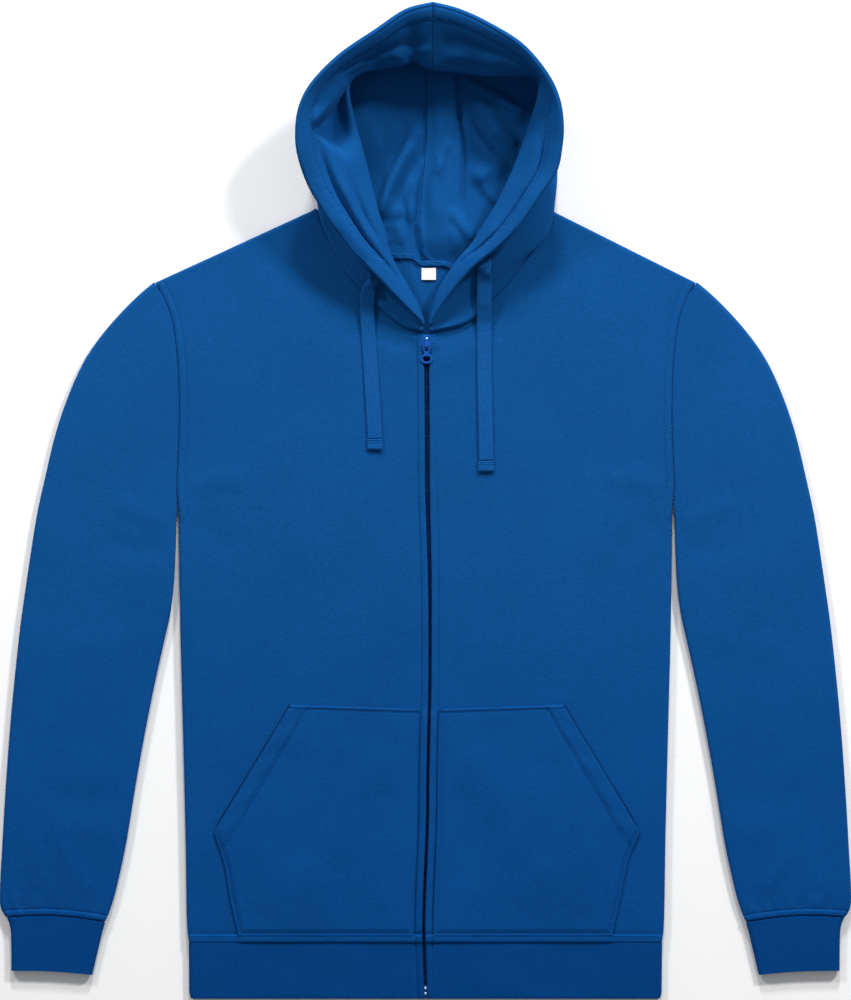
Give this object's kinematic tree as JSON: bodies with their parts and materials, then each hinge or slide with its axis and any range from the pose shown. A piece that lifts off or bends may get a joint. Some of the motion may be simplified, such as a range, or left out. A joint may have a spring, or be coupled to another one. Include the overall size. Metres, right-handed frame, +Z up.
{
  "type": "zip-up hoodie",
  "caption": "Zip-up fleece hoodie laid flat on its back, hood open, with long sleeves, rib cuffs and hem, kangaroo pockets and free drawcord ends.",
  "frame": {"origin": "middle of the garment's plan outline, on the surface it lies on", "axes": "+X to the right as seen in the picture, +Y from the hem towards the hood, +Z up from the surface"},
  "size_m": [0.7656, 0.8904, 0.0672],
  "materials": {
    "fleece": "brushed knit",
    "rib": "fine rib knit",
    "cord": "flat woven",
    "zip_tape": "woven tape",
    "label": "woven satin",
    "zip_teeth": "moulded",
    "stop": "moulded",
    "slider_paint": "gloss paint"
  },
  "bodies": {
    "garment": {"front_left": "fleece", "front_right": "fleece", "back": "fleece", "sleeve_left": "fleece", "sleeve_right": "fleece", "cuff_left": "rib", "cuff_right": "rib", "hem_band": "rib", "pocket_left": "fleece", "pocket_right": "fleece", "hood_left": "fleece", "hood_right": "fleece", "neck_tape": "fleece", "label": "label", "zip_chain": "zip_teeth", "zip_tape_left": "zip_tape", "zip_tape_right": "zip_tape", "zip_stop": "stop", "zip_slider": "slider_paint", "drawcord_left": "cord", "drawcord_right": "cord", "cord_tip_left": "cord", "cord_tip_right": "cord"},
    "pull_tab": {"zip_pull": "slider_paint"}
  },
  "joints": [
    {"name": "pull_hinge", "type": "hinge", "parent": "garment", "child": "pull_tab", "pos_m": [0.00103, 0.1419, 0.01], "axis": [-1, 0, 0], "range_deg": [0, 135]}
  ]
}
